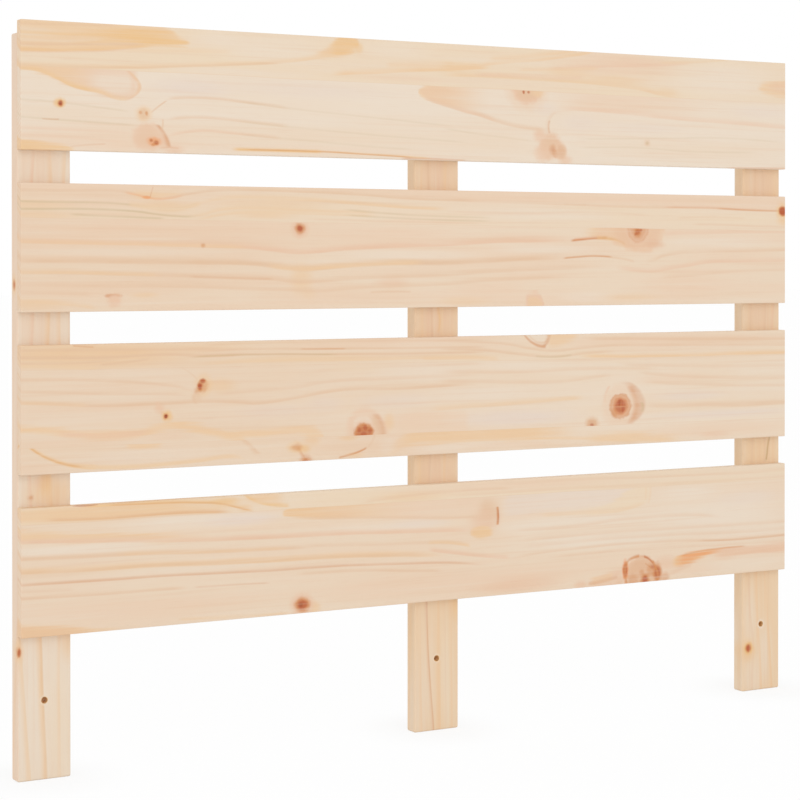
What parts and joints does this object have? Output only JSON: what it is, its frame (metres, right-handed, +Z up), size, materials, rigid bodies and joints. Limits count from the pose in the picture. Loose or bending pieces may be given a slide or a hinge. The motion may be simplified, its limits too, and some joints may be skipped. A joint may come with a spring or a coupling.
{
  "type": "bed headboard",
  "caption": "Slatted pine headboard for a single bed: wide horizontal boards screwed to the front of flat upright legs, with holes near the feet for the bolts of a bed.",
  "frame": {"origin": "on the floor, halfway along the boards and halfway through the depth of a board and a leg together", "axes": "+X to the right as seen from the bed, +Y back towards the wall, +Z up"},
  "size_m": [1.035, 0.03, 0.81],
  "materials": {
    "board_pine": "sanded bare pine, edge-glued strips with small knots",
    "leg_pine": "sanded bare pine with upright grain",
    "screw_steel": "bright zinc plate"
  },
  "bodies": {
    "root": {"bottom_board": "board_pine", "third_board": "board_pine", "second_board": "board_pine", "top_board": "board_pine", "left_leg": "leg_pine", "middle_leg": "leg_pine", "right_leg": "leg_pine", "lower_screw_bottom_board_left_leg": "screw_steel", "upper_screw_bottom_board_left_leg": "screw_steel", "lower_screw_bottom_board_middle_leg": "screw_steel", "upper_screw_bottom_board_middle_leg": "screw_steel", "lower_screw_bottom_board_right_leg": "screw_steel", "upper_screw_bottom_board_right_leg": "screw_steel", "lower_screw_third_board_left_leg": "screw_steel", "upper_screw_third_board_left_leg": "screw_steel", "lower_screw_third_board_middle_leg": "screw_steel", "upper_screw_third_board_middle_leg": "screw_steel", "lower_screw_third_board_right_leg": "screw_steel", "upper_screw_third_board_right_leg": "screw_steel", "lower_screw_second_board_left_leg": "screw_steel", "upper_screw_second_board_left_leg": "screw_steel", "lower_screw_second_board_middle_leg": "screw_steel", "upper_screw_second_board_middle_leg": "screw_steel", "lower_screw_second_board_right_leg": "screw_steel", "upper_screw_second_board_right_leg": "screw_steel", "lower_screw_top_board_left_leg": "screw_steel", "upper_screw_top_board_left_leg": "screw_steel", "lower_screw_top_board_middle_leg": "screw_steel", "upper_screw_top_board_middle_leg": "screw_steel", "lower_screw_top_board_right_leg": "screw_steel", "upper_screw_top_board_right_leg": "screw_steel"}
  },
  "joints": []
}
